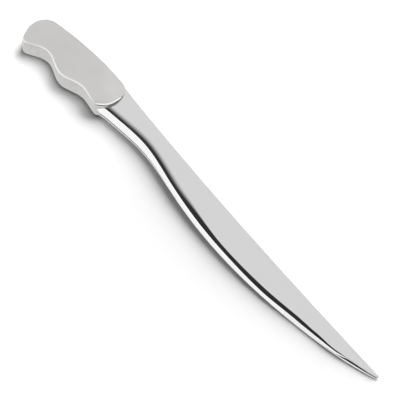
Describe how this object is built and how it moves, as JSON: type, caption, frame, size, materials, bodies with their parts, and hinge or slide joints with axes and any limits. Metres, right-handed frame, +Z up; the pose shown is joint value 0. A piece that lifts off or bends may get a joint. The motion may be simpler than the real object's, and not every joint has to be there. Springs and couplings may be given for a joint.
{
  "type": "letter opener",
  "caption": "Letter opener with a recurved polished blade, a blunt bevelled edge and a flat satin handle scalloped for the fingers.",
  "frame": {"origin": "on the flat underside of the handle, below the swell between the two finger grooves", "axes": "+X from the butt of the handle to the tip of the blade, +Y from the edge side to the back, +Z up from the underside"},
  "size_m": [0.2198, 0.0259, 0.0065],
  "materials": {
    "blade_steel": "mirror polished stainless steel",
    "handle_metal": "satin, fine bead blasted metal casting",
    "adhesive": "cured epoxy",
    "pin_steel": "ground steel dowel"
  },
  "bodies": {
    "root": {"blade": "blade_steel", "handle": "handle_metal", "tang_adhesive": "adhesive", "tang_pin_rear": "pin_steel", "tang_pin_front": "pin_steel"}
  },
  "joints": []
}
